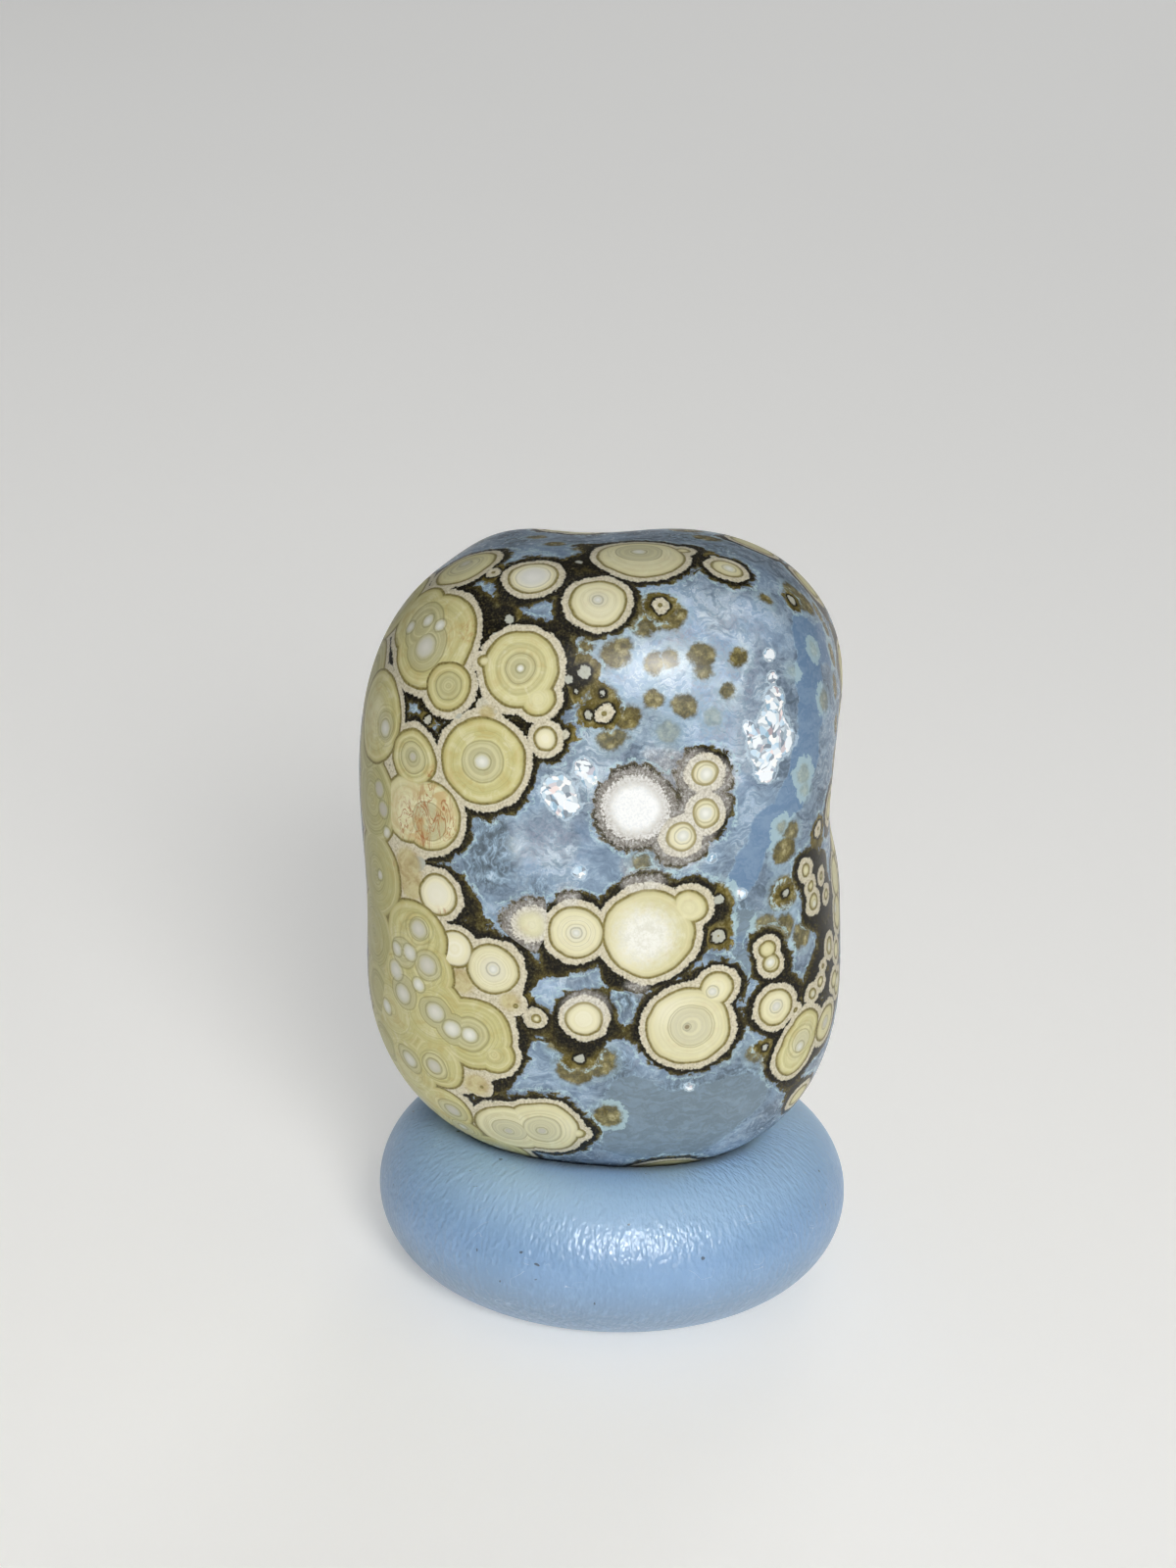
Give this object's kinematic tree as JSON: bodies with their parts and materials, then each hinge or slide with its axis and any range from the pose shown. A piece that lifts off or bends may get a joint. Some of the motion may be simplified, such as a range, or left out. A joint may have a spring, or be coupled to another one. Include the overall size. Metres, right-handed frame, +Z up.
{
  "type": "agate pebble on a ring stand",
  "caption": "Polished orbicular agate pebble, a rounded upright block with yellow eyes in blue-grey chalcedony, standing on a soft ring.",
  "frame": {"origin": "on the surface that the ring stands on, in the middle of the object's width and depth", "axes": "+Z up along the pebble's height, +X to the right and -Y towards a viewer of the pebble's front"},
  "size_m": [0.025, 0.024, 0.0384],
  "materials": {
    "agate": "tumbled satin gloss, pale yellow orbs with cream rims and dark halos in blue-grey chalcedony",
    "ring_rubber": "matte blue-grey, faint lines running round the ring"
  },
  "bodies": {
    "root": {"pebble": "agate", "ring_stand": "ring_rubber"}
  },
  "joints": []
}
